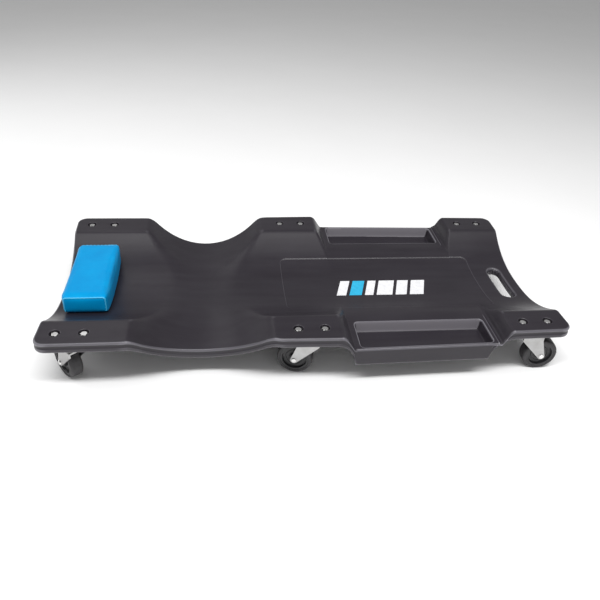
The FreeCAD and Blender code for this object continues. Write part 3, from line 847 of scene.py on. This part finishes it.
# Softboxes: name, place, target, size and power
LIGHTS = (
    ("top_light", (0.1, -0.3, 2.5), (0, 0, 0), (2.6, 2.0), 19.0),
    ("strip_light", (0.0, -0.8, 1.9), (0, 0, 0.1), (2.6, 0.3), 38.0),
    ("front_light", (0.2, -2.0, 0.45), (0.1, 0, 0.08), (2.4, 0.7), 6.5),
    ("head_light", (-1.8, 0.8, 1.0), (-0.4, -0.1, 0.1), (0.9, 0.8), 7.0),
    ("back_light", (-0.75, 1.6, 1.6), (-0.4, 0.1, 0.1), (0.6, 0.6), 1.2),
    ("pillow_light", (-0.80, 0.25, 2.45), (-0.4, 0.1, 0.1), (0.55, 0.7), 2.6),
)
SURROUND_COLOR = (1.0, 1.0, 1.0, 1.0)
SURROUND_STRENGTH = 0.32
FLOOR_HALF = 6.0


def set_camera():
    """The camera at the viewing angle of the reference."""
    data = bpy.data.cameras.new("camera")
    data.sensor_width = CAMERA_SENSOR
    data.lens = CAMERA_LENS
    data.clip_start = CAMERA_CLIP
    camera = link_object("camera", data)
    right = Vector((math.cos(CAMERA_TURN), -math.sin(CAMERA_TURN), 0))
    ahead = Vector((
        math.sin(CAMERA_TURN) * math.cos(CAMERA_DIP),
        math.cos(CAMERA_TURN) * math.cos(CAMERA_DIP),
        -math.sin(CAMERA_DIP),
    ))
    up = right.cross(ahead)
    rolled_right = right * math.cos(CAMERA_ROLL) + up * math.sin(CAMERA_ROLL)
    rolled_up = up * math.cos(CAMERA_ROLL) - right * math.sin(CAMERA_ROLL)
    turn = Matrix((rolled_right, rolled_up, -ahead)).transposed()
    camera.matrix_world = Matrix.Translation(CAMERA_PLACE) @ turn.to_4x4()
    bpy.context.scene.camera = camera


def soft_light(name, place, target, size, power):
    """A rectangular softbox that looks at a point."""
    data = bpy.data.lights.new(name, "AREA")
    data.shape = "RECTANGLE"
    data.size, data.size_y = size
    data.energy = power
    light = link_object(name, data)
    ahead = Vector(target) - Vector(place)
    light.matrix_world = Matrix.Translation(place) @ ahead.to_track_quat("-Z", "Y").to_matrix().to_4x4()


def set_light():
    """A dim surround and the softboxes, shown without a film curve."""
    world = bpy.data.worlds.new("surround")
    world.use_nodes = True
    shade = world.node_tree.nodes["Background"]
    shade.inputs["Color"].default_value = SURROUND_COLOR
    shade.inputs["Strength"].default_value = SURROUND_STRENGTH
    bpy.context.scene.world = world
    bpy.context.scene.view_settings.view_transform = "Standard"
    for row in LIGHTS:
        soft_light(*row)


def set_floor():
    """A broad pale floor."""
    corners = [(FLOOR_HALF * x, FLOOR_HALF * y, 0) for x, y in ((-1, -1), (1, -1), (1, 1), (-1, 1))]
    floor = mesh_object("studio_floor", corners, [(0, 1, 2, 3)])
    dress(floor.data, floor_paper())


# ---------------------------------------------------------------- pillow

# The cushion's box, how far its sides start inside it, and how high it lies over the board
PILLOW_LOW, PILLOW_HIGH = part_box("pillow_cover")
PILLOW_MIDDLE = (PILLOW_HIGH + PILLOW_LOW) / 2
PILLOW_ROUND = 5.5 * MM
PILLOW_START = 0.6 * MM
PILLOW_REST = 0.5 * MM
PILLOW_GAP = 0.3 * MM
PILLOW_CUTS = 15

# Filling: the cloth's mesh size, the part that is held, the pressure and the most that the cloth may move
PILLOW_VOXEL = 3.6 * MM
HELD_HEIGHT = 4 * MM
PRESSURE = 2.0
SIM_FRAMES = 20
PILLOW_CAP = 1.0 * MM

# How the cloth is drawn in and puckered beside each end seam
PULL_WIDTH = 4 * MM
PULL_DEPTH = 0.2 * MM
PUCKER_DEPTH = 0.25 * MM
PUCKER_RATE = 900

# The welt around each end
WELT_RADIUS = 1.2 * MM
WELT_RESOLUTION = 3
WELT_INSET = 2.6 * MM
WELT_POINTS = 96
WELT_START = 4 * MM
WELT_SINK = 0.2 * MM
WELT_OUT = 0.3 * MM
WELT_CENTRE_RISE = 4 * MM


def pillow_block():
    """The cushion before it is filled: a round-edged block whose bottom lies in the dish."""
    work = bmesh.new()
    bmesh.ops.create_cube(work, size=2.0)
    bmesh.ops.subdivide_edges(work, edges=work.edges, cuts=PILLOW_CUTS, use_grid_fill=True)
    half = (PILLOW_HIGH - PILLOW_LOW) / 2 - Vector((PILLOW_START, PILLOW_START, PILLOW_START / 2))
    core = half - Vector((PILLOW_ROUND, PILLOW_ROUND, PILLOW_ROUND))
    for vert in work.verts:
        place = Vector([vert.co[i] * half[i] for i in range(3)])
        inner = Vector([max(-core[i], min(core[i], place[i])) for i in range(3)])
        away = place - inner
        if away.length > PILLOW_ROUND:
            away *= PILLOW_ROUND / away.length
        place = inner + away + PILLOW_MIDDLE
        rest = board_at(place.x, place.y) + PILLOW_REST
        share = (place.z - PILLOW_MIDDLE.z + half.z) / (2 * half.z)
        place.z = rest + (PILLOW_HIGH.z - PILLOW_START - rest) * share
        vert.co = place
    bmesh.ops.recalc_face_normals(work, faces=work.faces)
    mesh = bpy.data.meshes.new("pillow")
    work.to_mesh(mesh)
    work.free()
    return link_object("pillow", mesh)


def fill_pillow(pillow):
    """Blow the cushion up as cloth, held where it lies on the board, and limit how far it swells."""
    step = pillow.modifiers.new("remesh", "REMESH")
    step.mode = "VOXEL"
    step.voxel_size = PILLOW_VOXEL
    settle(pillow)
    before = [vert.co.copy() for vert in pillow.data.vertices]
    held = pillow.vertex_groups.new(name="held")
    for vert in pillow.data.vertices:
        if vert.co.z < board_at(vert.co.x, vert.co.y) + HELD_HEIGHT:
            held.add([vert.index], 1.0, "REPLACE")
    settings = pillow.modifiers.new("cloth", "CLOTH").settings
    settings.use_pressure = True
    settings.uniform_pressure_force = PRESSURE
    settings.effector_weights.gravity = 0.0
    settings.vertex_group_mass = "held"
    for frame_number in range(1, SIM_FRAMES + 1):
        bpy.context.scene.frame_set(frame_number)
    settle(pillow)
    bpy.context.scene.frame_set(1)
    pillow.vertex_groups.clear()
    for vert, start in zip(pillow.data.vertices, before):
        move = vert.co - start
        if move.length > PILLOW_CAP:
            vert.co = start + move * (PILLOW_CAP / move.length)


def finish_pillow(pillow):
    """Smooth the filled cushion, pucker it at the end seams and keep it off the board."""
    step = pillow.modifiers.new("subdivide", "SUBSURF")
    step.levels = 1
    settle(pillow)
    ends = (PILLOW_LOW.y + WELT_INSET, PILLOW_HIGH.y - WELT_INSET)
    for vert in pillow.data.vertices:
        nearest = min(abs(vert.co.y - end) for end in ends)
        pull = math.exp(-(nearest / PULL_WIDTH) ** 2)
        around = vert.co.x + vert.co.z
        pucker = PUCKER_DEPTH * math.sin(around * PUCKER_RATE) * pull
        vert.co -= vert.normal * (PULL_DEPTH * pull + pucker)
        vert.co.z = max(vert.co.z, board_at(vert.co.x, vert.co.y) + PILLOW_GAP)
    shade_smooth(pillow.data)
    dress(pillow.data, MATERIALS["pillow_vinyl"])


def seam_points(pillow, y):
    """Points on the cushion's own surface around one end, above the board."""
    work = bmesh.new()
    work.from_mesh(pillow.data)
    tree = BVHTree.FromBMesh(work)
    centre = Vector((PILLOW_MIDDLE.x, y, PILLOW_MIDDLE.z + WELT_CENTRE_RISE))
    points = []
    for i in range(WELT_POINTS):
        turn = 2 * math.pi * i / WELT_POINTS
        ray = Vector((math.sin(turn), 0, -math.cos(turn)))
        hit = tree.ray_cast(centre, ray)[0]
        if hit and hit.z > board_at(hit.x, y) + WELT_START:
            points.append(hit - ray * WELT_SINK)
    work.free()
    return points


def end_seam(pillow, name, y, outward, material):
    """The welt around one end of the cushion."""
    points = seam_points(pillow, y)
    curve = bpy.data.curves.new(name, "CURVE")
    curve.dimensions = "3D"
    curve.bevel_depth = WELT_RADIUS
    curve.bevel_resolution = WELT_RESOLUTION
    curve.use_fill_caps = True
    spline = curve.splines.new("POLY")
    spline.points.add(len(points) - 1)
    for point, place in zip(spline.points, points):
        point.co = (place.x, place.y + outward * WELT_OUT, place.z, 1.0)
    shape = link_object(name, curve)
    mesh = bpy.data.meshes.new_from_object(shape)
    bpy.data.objects.remove(shape)
    made = link_object(name, mesh)
    shade_smooth(mesh)
    dress(mesh, material)
    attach(made, "root")


def build_pillow():
    """The head pillow with its two end seams."""
    pillow = pillow_block()
    fill_pillow(pillow)
    finish_pillow(pillow)
    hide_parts("pillow_cover", "pillow_foam")
    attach(pillow, "root")
    piping = pillow_piping()
    end_seam(pillow, "pillow_seam_right", PILLOW_LOW.y + WELT_INSET, -1, piping)
    end_seam(pillow, "pillow_seam_left", PILLOW_HIGH.y - WELT_INSET, 1, piping)


# ---------------------------------------------------------------- printed stripes

# The row's place on the middle panel, the bars' slant, gap and relative widths, the blue one, and the ink's height
STRIPES_X = (66 * MM, 258 * MM)
STRIPES_Y = (-34 * MM, 18 * MM)
STRIPE_SLANT = 16 * MM
STRIPE_GAP = 7 * MM
STRIPE_WIDTHS = (20, 26, 18, 34, 24, 30)
STRIPE_BLUE = 1
STRIPE_LIFT = 0.25 * MM
STRIPE_THICKNESS = 0.8 * STRIPE_LIFT
STRIPE_CELLS = (6, 14)


def stripe(name, start, width, material):
    """One slanted bar of ink on the middle panel."""
    along = np.linspace(start, start + width, STRIPE_CELLS[0] + 1)
    across = np.linspace(STRIPES_Y[0], STRIPES_Y[1], STRIPE_CELLS[1] + 1)
    x, y = np.meshgrid(along, across, indexing="ij")
    x = x + STRIPE_SLANT * (y - STRIPES_Y[0]) / (STRIPES_Y[1] - STRIPES_Y[0])
    top = np.stack([x, y, top_height(x, y) + STRIPE_LIFT], 2).reshape(-1, 3)
    under = top - np.array([0, 0, STRIPE_THICKNESS])
    quads, loop = sheet_faces(*x.shape)
    faces = [quads, quads[:, ::-1] + x.size, band_faces(loop, loop + x.size)]
    made = mesh_object(name, np.concatenate([top, under]), np.concatenate(faces), smooth=False)
    dress(made.data, material)
    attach(made, "root")


def build_stripes():
    """A plain row of slanted bars, one of them blue."""
    white = print_ink("ink_white", (0.80, 0.80, 0.82))
    blue = print_ink("ink_blue", (0.02, 0.42, 0.68))
    total = sum(STRIPE_WIDTHS) * MM + STRIPE_GAP * (len(STRIPE_WIDTHS) - 1)
    scale = (STRIPES_X[1] - STRIPES_X[0] - STRIPE_SLANT) / total
    start = STRIPES_X[0]
    for i, width in enumerate(STRIPE_WIDTHS):
        material = blue if i == STRIPE_BLUE else white
        stripe(f"stripe_{i + 1}", start, width * MM * scale, material)
        start += (width * MM + STRIPE_GAP) * scale


set_camera()
set_light()
set_floor()
paint_frame()
build_board()
build_pillow()
build_stripes()
